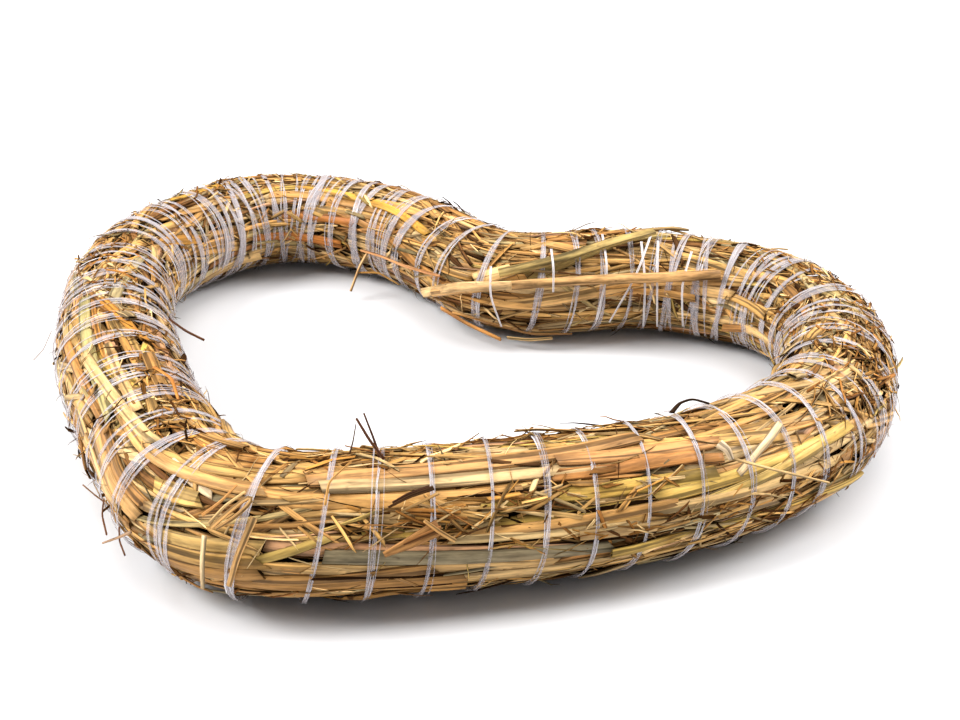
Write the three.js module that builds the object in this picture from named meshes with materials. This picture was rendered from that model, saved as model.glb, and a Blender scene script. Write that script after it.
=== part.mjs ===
// A straw heart: a rope of straw stalks bent to a heart and bound all along with one flat plastic thread.
// Millimetres, +Z up. It lies on its underside, with its tip towards -Y and its cleft towards +Y.
// The origin is on that underside, in the middle of the heart's width and length.

import * as THREE from "three";
import { mergeVertices } from "three/addons/utils/BufferGeometryUtils.js";

// The middle line of the straw rope, seen from above and measured from the corner of the heart's tip.
// It is bent by hand, so the two halves differ a little. A pull is the length of a curve's handle.
const rightHalf = {
  shoulderOut: 128.5,
  shoulderUp: 142.5,
  lobeOut: 77.5,
  lobeUp: 217.5,
  tipAngle: 41.5,
  cleftAngle: 65,
  tipPull: 9.5,
  limbPull: 78,
  shoulderPull: 51,
  lobeOuterPull: 27.5,
  lobeInnerPull: 48.5,
  cleftPull: 45,
};
const leftHalf = {
  shoulderOut: 129.5,
  shoulderUp: 152,
  lobeOut: 79.5,
  lobeUp: 214.5,
  tipAngle: 39,
  cleftAngle: 67.5,
  tipPull: 5,
  limbPull: 69,
  shoulderPull: 54,
  lobeOuterPull: 26.5,
  lobeInnerPull: 40,
  cleftPull: 42.5,
};
const cleftUp = 184.5;
const tipBend = 27; // the tip's corner is rounded over this length of each side
const cleftBend = 15;

// The rope itself: its size across, how its stalks bulge, and how far it settles on its underside.
const ropeWidth = 42;
const ropeHeight = 41.6;
const ropeSwell = 0.7;
const stalkRidge = 0.8;
const settle = 0.8;
const tightestInnerShare = 0.8; // inside a bend the rope reaches this share of the way to the bend's centre

// The binding thread, a flat film that lies in the groove that it pulls into the straw.
const threadWidth = 2;
const threadThickness = 1;
const threadClearance = 0.3;
const threadRecess = 0.3;
const grooveSlope = 1.7; // the groove's side comes up this far from the thread's edge
const fullGrooveShare = 0.6; // a groove squeezed to this share of that slope still has its full depth
const limbPitch = 13.5;
const lobePitch = 11;
const lobeMiddles = [0.36, 0.64]; // as shares of the way round the heart
const lobeReach = 0.13;
const lobeCore = 0.08; // the closer windings keep their pitch this far from a lobe's middle

// How finely the forms are drawn.
const sidesRound = 12;
const curveSteps = 160;
const bendSteps = 40;
const windingSteps = 4000;

const grooveDepth = threadRecess + threadThickness + threadClearance;
const grooveHalfWidth = threadWidth / 2 + grooveSlope;

// The middle line

function bezier(from, fromPull, toPull, to) {
  return new THREE.CubicBezierCurve(from, fromPull, toPull, to);
}

// One half of the heart from the tip's corner to the cleft's, with side 1 on the right and -1 on the left.
function halfLine(half, side) {
  const point = (x, y) => new THREE.Vector2(side * x, y);
  const tipAngle = THREE.MathUtils.degToRad(half.tipAngle);
  const cleftAngle = THREE.MathUtils.degToRad(half.cleftAngle);
  const tip = point(0, 0);
  const tipHandle = point(half.tipPull * Math.sin(tipAngle), half.tipPull * Math.cos(tipAngle));
  const shoulder = point(half.shoulderOut, half.shoulderUp);
  const lobe = point(half.lobeOut, half.lobeUp);
  const cleft = point(0, cleftUp);
  const cleftHandle = point(
    half.cleftPull * Math.sin(cleftAngle),
    cleftUp + half.cleftPull * Math.cos(cleftAngle),
  );
  const path = new THREE.CurvePath();
  path.add(
    bezier(tip, tipHandle, point(half.shoulderOut, half.shoulderUp - half.limbPull), shoulder),
  );
  path.add(
    bezier(
      shoulder,
      point(half.shoulderOut, half.shoulderUp + half.shoulderPull),
      point(half.lobeOut + half.lobeOuterPull, half.lobeUp),
      lobe,
    ),
  );
  path.add(bezier(lobe, point(half.lobeOut - half.lobeInnerPull, half.lobeUp), cleftHandle, cleft));
  return path;
}

// The stretch of a half between its two rounded corners, as points.
function openStretch(path) {
  const length = path.getLength();
  const from = tipBend / length;
  const to = 1 - cleftBend / length;
  return Array.from({ length: curveSteps + 1 }, (_, i) =>
    path.getPointAt(from + ((to - from) * i) / curveSteps),
  );
}

// A round corner from the end of one row of points to the start of the next, near an arc of a circle.
function roundCorner(before, after) {
  const from = before.at(-1);
  const to = after[0];
  const wayIn = from.clone().sub(before.at(-2)).normalize();
  const wayOut = after[1].clone().sub(to).normalize();
  const turn = wayIn.angleTo(wayOut);
  const radius = from.distanceTo(to) / (2 * Math.sin(turn / 2));
  const pull = (4 / 3) * Math.tan(turn / 4) * radius;
  const curve = bezier(
    from,
    from.clone().addScaledVector(wayIn, pull),
    to.clone().addScaledVector(wayOut, -pull),
    to,
  );
  return curve.getSpacedPoints(bendSteps).slice(1, -1);
}

// The whole middle line, anticlockwise from above, as evenly spaced places with their outward direction.
function middleLine() {
  const right = openStretch(halfLine(rightHalf, 1));
  const left = openStretch(halfLine(leftHalf, -1)).reverse();
  const outline = [...right, ...roundCorner(right, left), ...left, ...roundCorner(left, right)];
  outline.push(outline[0]);
  const travelled = [0];
  for (let i = 1; i < outline.length; i++) {
    travelled.push(travelled[i - 1] + outline[i].distanceTo(outline[i - 1]));
  }
  return { outline, travelled, length: travelled.at(-1) };
}

const line = middleLine();

// The index of the last entry of a rising list that isn't above a value.
function lastNotAbove(list, value) {
  let low = 0;
  let high = list.length - 1;
  while (high - low > 1) {
    const middle = (low + high) >> 1;
    if (list[middle] <= value) low = middle;
    else high = middle;
  }
  return low;
}

function pointAlong(distance) {
  const wrapped = THREE.MathUtils.euclideanModulo(distance, line.length);
  const i = lastNotAbove(line.travelled, wrapped);
  const share = (wrapped - line.travelled[i]) / (line.travelled[i + 1] - line.travelled[i]);
  return line.outline[i].clone().lerp(line.outline[i + 1], share);
}

// Place, outward direction and signed bend at a distance along the line. The bend is 1 / radius, and it is
// positive where the line curves round the heart's inside.
function placeAlong(distance) {
  const reach = ropeWidth / 8;
  const before = pointAlong(distance - reach);
  const here = pointAlong(distance);
  const after = pointAlong(distance + reach);
  const wayIn = here.clone().sub(before);
  const wayOut = after.clone().sub(here);
  const ahead = after.clone().sub(before).normalize();
  const turn = Math.atan2(wayIn.cross(wayOut), wayIn.dot(wayOut));
  return {
    x: here.x,
    y: here.y,
    outX: ahead.y,
    outY: -ahead.x,
    bend: turn / reach,
  };
}

// The rope's surface

// Half the rope's width at a distance along it, with the slow swelling of straw that is packed by hand.
function halfWidth(distance) {
  const turn = (2 * Math.PI * distance) / line.length;
  return ropeWidth / 2 + ropeSwell * Math.sin(3 * turn + 1.1) * Math.cos(2 * turn - 0.4);
}

// How far the stalks stand out at an angle round the rope. They fade out on the underside, where it lies.
function ridge(distance, angle) {
  const turn = (2 * Math.PI * distance) / line.length;
  const lying = THREE.MathUtils.smoothstep(-Math.sin(angle), 0.6, 0.95);
  const wave = 0.6 * Math.sin(5 * angle + 9 * turn) + 0.4 * Math.sin(3 * angle - 14 * turn + 1);
  return stalkRidge * wave * (1 - lying);
}

// A point of the rope's surface, sunk into it by a depth. Angle 0 is outwards and a quarter turn is up.
function ropePoint(distance, angle, depth) {
  const place = placeAlong(distance);
  const side = Math.cos(angle);
  const out = ridge(distance, angle) - depth;
  let reach = halfWidth(distance);
  if (side * place.bend < 0) {
    reach = Math.min(reach, tightestInnerShare / Math.abs(place.bend));
  }
  const across = side * (reach + out);
  const height = ropeHeight / 2 - settle + Math.sin(angle) * (ropeHeight / 2 + out);
  return new THREE.Vector3(
    place.x + place.outX * across,
    place.y + place.outY * across,
    Math.max(height, depth),
  );
}

// The groove fades where a bend's inside brings its sides close to the thread's edges.
function bulge(distance, angle) {
  const place = placeAlong(distance);
  const squeeze = 1 + Math.cos(angle) * place.bend * halfWidth(distance);
  const room = squeeze * grooveHalfWidth - threadWidth / 2;
  return THREE.MathUtils.smoothstep(room, threadClearance, grooveSlope * fullGrooveShare);
}

// The windings

// Distance along the line for each whole and part winding. The thread is wound closer round the lobes.
function windingTable() {
  const steps = [0];
  for (let i = 0; i < windingSteps; i++) {
    const share = (i + 0.5) / windingSteps;
    const nearest = Math.min(...lobeMiddles.map((middle) => Math.abs(share - middle)));
    const onLobe = 1 - THREE.MathUtils.smoothstep(nearest, lobeCore, lobeReach);
    const pitch = limbPitch + (lobePitch - limbPitch) * onLobe;
    steps.push(steps[i] + line.length / windingSteps / pitch);
  }
  const windings = Math.round(steps.at(-1));
  return { windings, turns: steps.map((turn) => (turn * windings) / steps.at(-1)) };
}

const winding = windingTable();

function distanceOfTurn(turn) {
  const wrapped = THREE.MathUtils.euclideanModulo(turn, winding.windings);
  const laps = Math.round((turn - wrapped) / winding.windings);
  const i = lastNotAbove(winding.turns, wrapped);
  const share = (wrapped - winding.turns[i]) / (winding.turns[i + 1] - winding.turns[i]);
  return line.length * (laps + (i + share) / windingSteps);
}

// Meshes

// A closed skin over rows of points. Each row winds once round the rope and ends where the row that is
// `rowsPerTurn` further on begins, so the rows run on as one screw, and the last rows meet the first.
function screwSkin(rows, rowsPerTurn) {
  const positions = rows.flat().flatMap((point) => point.toArray());
  const indices = [];
  const pointIndex = (row, step) => {
    const onward = Math.floor(step / sidesRound) * rowsPerTurn;
    return ((row + onward) % rows.length) * sidesRound + (step % sidesRound);
  };
  for (let row = 0; row < rows.length; row++) {
    for (let step = 0; step < sidesRound; step++) {
      const a = pointIndex(row, step);
      const b = pointIndex(row, step + 1);
      const c = pointIndex(row + 1, step + 1);
      const d = pointIndex(row + 1, step);
      indices.push(a, c, b, a, d, c);
    }
  }
  return solidGeometry(positions, indices);
}

function solidGeometry(positions, indices) {
  const geometry = new THREE.BufferGeometry();
  geometry.setAttribute("position", new THREE.Float32BufferAttribute(positions, 3));
  geometry.setIndex(indices);
  const closed = mergeVertices(geometry, 1e-4);
  closed.computeVertexNormals();
  return closed;
}

// Half a step of angle sets a flat side of the rope square under it and square on top.
function angleOfStep(step) {
  return (2 * Math.PI * (step + 0.5)) / sidesRound;
}

// Three rows a winding: the groove under the thread, and the two edges of the bulge between two threads.
function strawRope() {
  const rows = [];
  for (let turn = 0; turn < winding.windings; turn++) {
    const groove = [];
    const bulgeStart = [];
    const bulgeEnd = [];
    for (let step = 0; step < sidesRound; step++) {
      const angle = angleOfStep(step);
      const here = distanceOfTurn(turn + step / sidesRound);
      const next = distanceOfTurn(turn + 1 + step / sidesRound);
      const start = here + grooveHalfWidth;
      const end = next - grooveHalfWidth;
      groove.push(ropePoint(here, angle, grooveDepth));
      bulgeStart.push(ropePoint(start, angle, grooveDepth * (1 - bulge(start, angle))));
      bulgeEnd.push(ropePoint(end, angle, grooveDepth * (1 - bulge(end, angle))));
    }
    rows.push(groove, bulgeStart, bulgeEnd);
  }
  const mesh = new THREE.Mesh(screwSkin(rows, 3), strawMaterial());
  mesh.name = "straw_rope";
  return mesh;
}

// The thread follows the groove all round the heart and is knotted to its own start, so it is one loop.
// Its section has a flat outer face, and an edge that points into the groove.
function bindingThread() {
  const nodes = winding.windings * sidesRound;
  const positions = [];
  const indices = [];
  const corners = [
    { along: -threadWidth / 2, depth: threadRecess },
    { along: threadWidth / 2, depth: threadRecess },
    { along: 0, depth: threadRecess + threadThickness },
  ];
  for (let node = 0; node < nodes; node++) {
    const angle = angleOfStep(node % sidesRound);
    const distance = distanceOfTurn(node / sidesRound);
    const middlePoint = ropePoint(distance, angle, threadRecess);
    const innerPoint = ropePoint(distance, angle, threadRecess + threadThickness);
    const place = placeAlong(distance);
    for (const { along, depth } of corners) {
      const base = depth > threadRecess ? innerPoint : middlePoint;
      positions.push(base.x - place.outY * along, base.y + place.outX * along, base.z);
    }
    const next = (node + 1) % nodes;
    for (let k = 0; k < corners.length; k++) {
      const l = (k + 1) % corners.length;
      const a = node * corners.length + k;
      const b = node * corners.length + l;
      const c = next * corners.length + l;
      const d = next * corners.length + k;
      indices.push(a, b, c, a, c, d);
    }
  }
  const mesh = new THREE.Mesh(solidGeometry(positions, indices), threadMaterial());
  mesh.name = "binding_thread";
  return mesh;
}

function strawMaterial() {
  return new THREE.MeshStandardMaterial({ color: 0xc7a15a, roughness: 0.75, metalness: 0 });
}

function threadMaterial() {
  return new THREE.MeshStandardMaterial({ color: 0xe4e0e4, roughness: 0.35, metalness: 0 });
}

// The heart is moved so that the middle of its width and length is over the origin.
function centred(group) {
  const middle = new THREE.Box3().setFromObject(group).getCenter(new THREE.Vector3());
  group.position.set(-middle.x, -middle.y, 0);
  return group;
}

const strawHeart = new THREE.Group();
strawHeart.name = "straw_heart";
strawHeart.add(strawRope(), bindingThread());

export default centred(strawHeart);
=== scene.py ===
# A straw heart: straw stalks packed to a thick rope, bent to a heart and bound all along with plastic film.
# Lengths are in millimetres until a mesh is made, and the frame is in metres.

import math

import bpy
import numpy as np
from mathutils import Matrix, Vector


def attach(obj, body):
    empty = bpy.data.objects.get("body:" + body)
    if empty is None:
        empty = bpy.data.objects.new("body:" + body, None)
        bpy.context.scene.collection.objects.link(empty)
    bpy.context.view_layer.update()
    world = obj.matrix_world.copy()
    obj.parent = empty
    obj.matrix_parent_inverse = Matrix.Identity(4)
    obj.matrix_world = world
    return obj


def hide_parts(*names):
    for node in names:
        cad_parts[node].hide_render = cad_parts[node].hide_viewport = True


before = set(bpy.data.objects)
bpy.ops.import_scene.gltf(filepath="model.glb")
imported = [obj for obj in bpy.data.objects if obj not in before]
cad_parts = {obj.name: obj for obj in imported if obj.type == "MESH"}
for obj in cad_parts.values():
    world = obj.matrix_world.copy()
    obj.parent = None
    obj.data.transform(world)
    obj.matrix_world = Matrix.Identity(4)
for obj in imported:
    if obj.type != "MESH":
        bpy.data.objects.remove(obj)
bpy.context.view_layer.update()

# The camera
# The heart is seen from its tip, a little from the right, from 40 cm off and 20 cm above the table. The
# tip's corner is the point that the heart's middle line is measured from.

MM = 0.001
tip_corner = (0.08, -112.88)
camera_aim = (20.98, 6.15, 20.9)
camera_azimuth = math.radians(23.79)
camera_elevation = math.radians(25.91)
camera_roll = math.radians(1.58)
camera_distance = 401.2
camera_lens = 46.4
sensor_width = 36


def add_object(name, data):
    made = bpy.data.objects.new(name, data)
    bpy.context.scene.collection.objects.link(made)
    return made


back = Vector((
    math.sin(camera_azimuth) * math.cos(camera_elevation),
    -math.cos(camera_azimuth) * math.cos(camera_elevation),
    math.sin(camera_elevation),
))
level_right = (-back).cross(Vector((0, 0, 1))).normalized()
level_up = level_right.cross(-back)
right = level_right * math.cos(camera_roll) + level_up * math.sin(camera_roll)
up = level_up * math.cos(camera_roll) - level_right * math.sin(camera_roll)
camera_data = bpy.data.cameras.new("camera")
camera_data.lens = camera_lens
camera_data.sensor_width = sensor_width
camera = add_object("camera", camera_data)
camera.matrix_world = Matrix((
    (right.x, up.x, back.x, 0),
    (right.y, up.y, back.y, 0),
    (right.z, up.z, back.z, 0),
    (0, 0, 0, 1),
))
camera.location = (Vector(camera_aim) + back * camera_distance) * MM
bpy.context.scene.camera = camera

# The imported straw inside
# The rope's straw is pressed so hard that what shows between the outer stalks is one dusty mass, painted
# nearly black as the shade deep in the gaps. It follows the heart's middle line, which two hand-bent halves
# and two rounded corners make.

right_half = dict(shoulder=(128.5, 142.5), lobe=(77.5, 217.5), tip_angle=41.5, cleft_angle=65, tip_pull=9.5,
    limb_pull=78, shoulder_pull=51, lobe_outer_pull=27.5, lobe_inner_pull=48.5, cleft_pull=45)
left_half = dict(shoulder=(129.5, 152), lobe=(79.5, 214.5), tip_angle=39, cleft_angle=67.5, tip_pull=5,
    limb_pull=69, shoulder_pull=54, lobe_outer_pull=26.5, lobe_inner_pull=40, cleft_pull=42.5)
cleft_up = 184.5
tip_bend = 27
cleft_bend = 15
rope_width = 42
rope_height = 41.6
rope_swell = 0.7
settle = 0.8
tightest_inner_share = 0.8
ground_gap = 0.05
limb_steps = 2000
lobe_steps = 1000
half_points = 161
corner_steps = 60
line_places = 3200


def bezier(start, start_pull, end_pull, end, steps):
    share = np.linspace(0, 1, steps + 1)[:, None]
    rest = 1 - share
    towards_start = rest**3 * start + 3 * rest**2 * share * start_pull
    return towards_start + 3 * rest * share**2 * end_pull + share**3 * end


def travel(points):
    return np.concatenate([[0], np.cumsum(np.linalg.norm(np.diff(points, axis=0), axis=1))])


def resample(points, first, last, count):
    """Evenly spaced points from one distance to another along a row of points."""
    along = travel(points)
    wanted = np.linspace(first, last, count)
    return np.stack([np.interp(wanted, along, points[:, i]) for i in (0, 1)], axis=1)


def half_line(half, side):
    """One half's middle line between its rounded corners. Side 1 is the right one, and -1 the left."""
    tip_turn = math.radians(half["tip_angle"])
    cleft_turn = math.radians(half["cleft_angle"])
    tip = np.array([0.0, 0.0])
    shoulder = np.array(half["shoulder"], float)
    lobe = np.array(half["lobe"], float)
    cleft = np.array([0.0, cleft_up])
    tip_pull = half["tip_pull"] * np.array([math.sin(tip_turn), math.cos(tip_turn)])
    cleft_pull = half["cleft_pull"] * np.array([math.sin(cleft_turn), math.cos(cleft_turn)])
    limb = bezier(tip, tip + tip_pull, shoulder - (0, half["limb_pull"]), shoulder, limb_steps)
    shoulder_end = shoulder + (0, half["shoulder_pull"])
    lobe_start = lobe + (half["lobe_outer_pull"], 0)
    outer = bezier(shoulder, shoulder_end, lobe_start, lobe, lobe_steps)
    lobe_end = lobe - (half["lobe_inner_pull"], 0)
    inner = bezier(lobe, lobe_end, cleft + cleft_pull, cleft, lobe_steps)
    points = np.concatenate([limb, outer[1:], inner[1:]]) * (side, 1)
    return resample(points, tip_bend, travel(points)[-1] - cleft_bend, half_points)


def round_corner(before, after):
    way_in = before[-1] - before[-2]
    way_in /= np.linalg.norm(way_in)
    way_out = after[1] - after[0]
    way_out /= np.linalg.norm(way_out)
    turn = math.acos(np.dot(way_in, way_out))
    radius = np.linalg.norm(after[0] - before[-1]) / (2 * math.sin(turn / 2))
    pull = 4 / 3 * math.tan(turn / 4) * radius
    start, end = before[-1], after[0]
    return bezier(start, start + way_in * pull, end - way_out * pull, end, corner_steps)[1:-1]


right_line = half_line(right_half, 1)
left_line = half_line(left_half, -1)[::-1]
outline = np.concatenate([
    right_line,
    round_corner(right_line, left_line),
    left_line,
    round_corner(left_line, right_line),
    right_line[:1],
])
rope_length = travel(outline)[-1]
line_points = resample(outline, 0, rope_length, line_places + 1)[:-1]
place_step = rope_length / line_places


def rows_around(table, distance):
    """A table with one row for each place along the rope, read at any distance along it."""
    at = np.asarray(distance) / place_step
    low = np.floor(at).astype(int)
    share = (at - low).reshape(at.shape + (1,) * (table.ndim - 1))
    return table[low % line_places] * (1 - share) + table[(low + 1) % line_places] * share


bend_reach = rope_width / 8
line_distance = np.arange(line_places) * place_step
point_before = rows_around(line_points, line_distance - bend_reach)
point_after = rows_around(line_points, line_distance + bend_reach)
way_in = line_points - point_before
way_out = point_after - line_points
ahead = point_after - point_before
ahead /= np.linalg.norm(ahead, axis=1)[:, None]
turn_left = np.arctan2(
    way_in[:, 0] * way_out[:, 1] - way_in[:, 1] * way_out[:, 0],
    (way_in * way_out).sum(axis=1),
)
line_out = np.stack([ahead[:, 1], -ahead[:, 0]], axis=1)
line_bend = turn_left / bend_reach
line_turn = 2 * math.pi * line_distance / rope_length
line_half_width = rope_width / 2 + rope_swell * np.sin(3 * line_turn + 1.1) * np.cos(2 * line_turn - 0.4)
line_table = np.column_stack([line_points, line_out, line_bend, line_half_width])


def on_rope(distance, angle, height):
    """Points over the rope's surface. Angle 0 is the heart's outside, and a quarter turn is on top.
    What would be under the ground is pressed flat on it, and the deeper layers a little higher."""
    place = rows_around(line_table, distance)
    side = np.cos(angle)
    bend = place[..., 4]
    reach = place[..., 5]
    tightest = tightest_inner_share / np.maximum(np.abs(bend), 1e-9)
    reach = np.where(side * bend < 0, np.minimum(reach, tightest), reach)
    across = side * (reach + height)
    up_there = rope_height / 2 - settle + np.sin(angle) * (rope_height / 2 + height)
    return np.stack([
        place[..., 0] + place[..., 2] * across + tip_corner[0],
        place[..., 1] + place[..., 3] * across + tip_corner[1],
        np.maximum(up_there, np.maximum(-height, ground_gap)),
    ], axis=-1)


def stretch(distance, angle):
    """How much longer the surface is than the middle line, outside and inside a bend."""
    place = rows_around(line_table[:, 4:6], distance)
    return np.maximum(1 + np.cos(angle) * place[..., 0] * place[..., 1], 0.3)


def linear(colour):
    """A colour of the form #RRGGBB as linear light."""
    values = np.array([int(colour[i : i + 2], 16) for i in (1, 3, 5)]) / 255
    return np.where(values <= 0.04045, values / 12.92, ((values + 0.055) / 1.055) ** 2.4)


def paint(mesh, colours):
    """Writes a colour for every point of a mesh, which its material reads as tone."""
    rgba = np.concatenate([colours, np.ones(colours.shape[:-1] + (1,))], axis=-1)
    mesh.color_attributes["tone"].data.foreach_set("color", rgba.astype(np.float32).ravel())


def lengths_along(rings):
    """How far each ring of every strip is from the strip's first one, in millimetres."""
    steps = np.linalg.norm(np.diff(rings.mean(axis=2), axis=1), axis=2)
    return np.concatenate([np.zeros((len(rings), 1)), np.cumsum(steps, axis=1)], axis=1)


def swept_mesh(name, rings, colours, around_mm, along_mm):
    """One mesh of many closed strips. Rings are (strips, rings, points round, 3) in millimetres, and
    colours go with them. The grain map is in millimetres round and along each strip, and starts at another
    place for each. In the map for baking each strip has a cell of its own with a border."""
    grain_shift_round = 7.3
    grain_shift_along = 31.7
    longest_shift = 997
    cell_border = 0.04
    cell_inside = 1 - 2 * cell_border
    strips, count, points, _ = rings.shape
    index = np.arange(strips * count * points).reshape(strips, count, points)
    onward = np.roll(index, -1, axis=2)
    sides = np.stack([index[:, :-1], onward[:, :-1], onward[:, 1:], index[:, 1:]], axis=-1)
    first_caps = index[:, 0, ::-1]
    last_caps = index[:, -1]
    corners = np.concatenate([sides.ravel(), first_caps.ravel(), last_caps.ravel()])
    side_count = strips * (count - 1) * points
    sizes = np.concatenate([np.full(side_count, 4), np.full(2 * strips, points)]).astype(np.int32)
    mesh = bpy.data.meshes.new(name)
    mesh.vertices.add(rings[..., 0].size)
    mesh.vertices.foreach_set("co", (rings * MM).astype(np.float32).ravel())
    mesh.loops.add(len(corners))
    mesh.loops.foreach_set("vertex_index", corners.astype(np.int32))
    mesh.polygons.add(len(sizes))
    starts = np.concatenate([[0], np.cumsum(sizes)[:-1]]).astype(np.int32)
    mesh.polygons.foreach_set("loop_start", starts)
    mesh.update(calc_edges=True)
    mesh.polygons.foreach_set("use_smooth", np.ones(len(sizes), bool))

    strip_number, steps_along, steps_round = np.indices((strips, count - 1, points))
    corner_round = np.stack([steps_round, steps_round + 1, steps_round + 1, steps_round], axis=-1).ravel()
    corner_along = np.stack([steps_along, steps_along, steps_along + 1, steps_along + 1], axis=-1).ravel()
    corner_strip = np.repeat(strip_number.ravel(), 4)
    cap_round = np.tile(np.arange(points), strips)
    corner_round = np.concatenate([corner_round, cap_round[::-1], cap_round])
    first_along = np.zeros(strips * points, int)
    last_along = np.full(strips * points, count - 1)
    corner_along = np.concatenate([corner_along, first_along, last_along])
    cap_strip = np.repeat(np.arange(strips), points)
    corner_strip = np.concatenate([corner_strip, cap_strip, cap_strip])
    grain = mesh.uv_layers.new(name="grain")
    grain_places = np.stack([
        corner_round * around_mm[corner_strip] / points + corner_strip * grain_shift_round,
        along_mm[corner_strip, corner_along] + (corner_strip * grain_shift_along) % longest_shift,
    ], axis=-1)
    grain.data.foreach_set("uv", grain_places.astype(np.float32).ravel())
    columns = max(1, int(math.sqrt(strips * count / points)))
    lines = -(-strips // columns)
    own = mesh.uv_layers.new(name="OFBake")
    own_places = np.stack([
        (corner_strip % columns + cell_border + cell_inside * corner_round / points) / columns,
        (corner_strip // columns + cell_border + cell_inside * corner_along / (count - 1)) / lines,
    ], axis=-1)
    own.data.foreach_set("uv", own_places.astype(np.float32).ravel())
    mesh.color_attributes.new(name="tone", type="FLOAT_COLOR", domain="POINT")
    paint(mesh, colours)
    return add_object(name, mesh)


core_depth = 5.0
core_rings = 500
core_sides = 44
core_rng = np.random.default_rng(11)
core_distance = np.linspace(0, rope_length, core_rings)[:, None]
core_angle = (2 * math.pi * np.arange(core_sides) / core_sides)[None, :]
core_stripes = core_rng.normal(0, 1, (core_rings // 10, core_sides))
core_rows = np.linspace(0, core_rings // 10 - 1, core_rings)
core_bumps = np.stack([
    np.interp(core_rows, np.arange(core_rings // 10), np.append(core_stripes[:-1, i], core_stripes[0, i]))
    for i in range(core_sides)
], axis=1)
core_places = on_rope(
    core_distance + 0 * core_angle,
    core_angle + 0 * core_distance,
    -core_depth + 0.5 * core_bumps,
)


def add_node(tree, kind, settings, inputs):
    """Adds a node with its settings. Each input takes a value, or a link where an output is given."""
    made = tree.nodes.new(kind)
    for key, value in settings.items():
        setattr(made, key, value)
    for key, value in inputs.items():
        if isinstance(value, bpy.types.NodeSocket):
            tree.links.new(value, made.inputs[key])
        else:
            made.inputs[key].default_value = value
    return made


def map_range(tree, value, from_min, from_max, to_min, to_max):
    """Takes a value from one range to another, and holds it at the ends."""
    return add_node(tree, "ShaderNodeMapRange", {}, {
        "Value": value,
        "From Min": from_min,
        "From Max": from_max,
        "To Min": to_min,
        "To Max": to_max,
    }).outputs[0]


def multiply(tree, first, second):
    settings = {"operation": "MULTIPLY"}
    return add_node(tree, "ShaderNodeVectorMath", settings, {0: first, 1: second}).outputs[0]


def mix(tree, share, first, second, blend="MIX"):
    settings = {"data_type": "RGBA", "blend_type": blend}
    return add_node(tree, "ShaderNodeMix", settings, {0: share, 6: first, 7: second}).outputs[2]


def grain_noise(tree, grain, across, along, detail, roughness=0.5):
    """Noise on the grain map, with this many cycles to a millimetre across and along the strip."""
    return add_node(tree, "ShaderNodeTexNoise", {"noise_dimensions": "2D"}, {
        "Vector": multiply(tree, grain, (across, along, 1.0)),
        "Scale": 1.0,
        "Detail": detail,
        "Roughness": roughness,
    }).outputs["Fac"]


def empty_material(name):
    material = bpy.data.materials.new(name)
    material.use_nodes = True
    material.node_tree.nodes.clear()
    return material


def straw_material(name, gloss_roughness, fibre_width, fibre_dark, stain, bump_depth):
    """Wheat straw: a waxy skin over long fibres. The skin gives a soft gloss that breaks along the fibres,
    and rain, dust and mould leave browner streaks that run lengthwise."""
    material = empty_material(name)
    tree = material.node_tree
    tone = add_node(tree, "ShaderNodeAttribute", {"attribute_name": "tone"}, {})
    grain = add_node(tree, "ShaderNodeUVMap", {"uv_map": "grain"}, {}).outputs["UV"]
    # One cycle of noise is about twice a fibre's width across, and fibres show for 20 mm or more along.
    fibre = grain_noise(tree, grain, 0.5 / fibre_width, 0.045, 4.0, 0.72)
    fibre_light = map_range(tree, fibre, 0.36, 0.62, fibre_dark, 1.08)
    # Grooves between the straw's ribs, a little less than a millimetre apart, run on for some 80 mm.
    groove = grain_noise(tree, grain, 1.4, 0.012, 1.0)
    groove_light = map_range(tree, groove, 0.39, 0.46, 0.38, 1.0)
    # Browner streaks are 1 to 2 mm wide and 10 to 30 mm long.
    streak = grain_noise(tree, grain, 0.4, 0.05, 4.0, 0.65)
    streak_share = map_range(tree, streak, 0.46, 0.72, 0.0, stain)
    # Specks of mould and chaff dust, 1 to 3 mm long.
    speck = grain_noise(tree, grain, 0.9, 0.2, 2.0)
    speck_share = map_range(tree, speck, 0.72, 0.8, 0.0, 0.5)
    stained = mix(tree, streak_share, tone.outputs["Color"], (*linear("#AE824A"), 1), "MULTIPLY")
    specked = mix(tree, speck_share, stained, (*linear("#3E2814"), 1))
    ribbed = multiply(tree, specked, groove_light)
    lit = multiply(tree, ribbed, fibre_light)
    roughness = map_range(tree, fibre, 0.3, 0.7, gloss_roughness + 0.15, gloss_roughness)
    # The gloss fades where the tone is dark: in the painted shade and dust of the gaps, and on dark straw.
    gloss = map_range(tree, tone.outputs["Fac"], 0.02, 0.3, 0.0, 0.16)
    bump = add_node(tree, "ShaderNodeBump", {}, {
        "Strength": 0.8,
        "Distance": bump_depth * MM,
        "Height": fibre,
    })
    shader = add_node(tree, "ShaderNodeBsdfPrincipled", {}, {
        "Base Color": lit,
        "Roughness": roughness,
        "IOR": 1.5,
        "Specular IOR Level": gloss,
        "Normal": bump.outputs[0],
    })
    add_node(tree, "ShaderNodeOutputMaterial", {}, {"Surface": shader.outputs[0]})
    return material


packed_material = straw_material("packed_wheat_straw", 0.7, 0.6, 0.5, 0.8, 0.3)
core_tone = 0.6 + 0.25 * core_bumps[..., None] ** 2
# Painted shade: the core's near-black brown stands for the deep shade between the outer stalks.
core_shade_colours = np.broadcast_to(linear("#2B1A0C"), core_places.shape) * core_tone
packed_straw = swept_mesh(
    "packed_straw",
    core_places[None],
    core_shade_colours[None],
    np.array([math.pi * (rope_width - 2 * core_depth)]),
    core_distance.T,
)
packed_straw.data.materials.append(packed_material)
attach(packed_straw, "root")
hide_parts("straw_rope")

# Where the thread presses
# The thread is wound on by a machine, one turn for every 13.5 mm of limb and 11 mm of lobe. It pulls a
# shallow waist into the straw wherever it passes, so the stalks lie lower there and bulge between.

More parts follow.
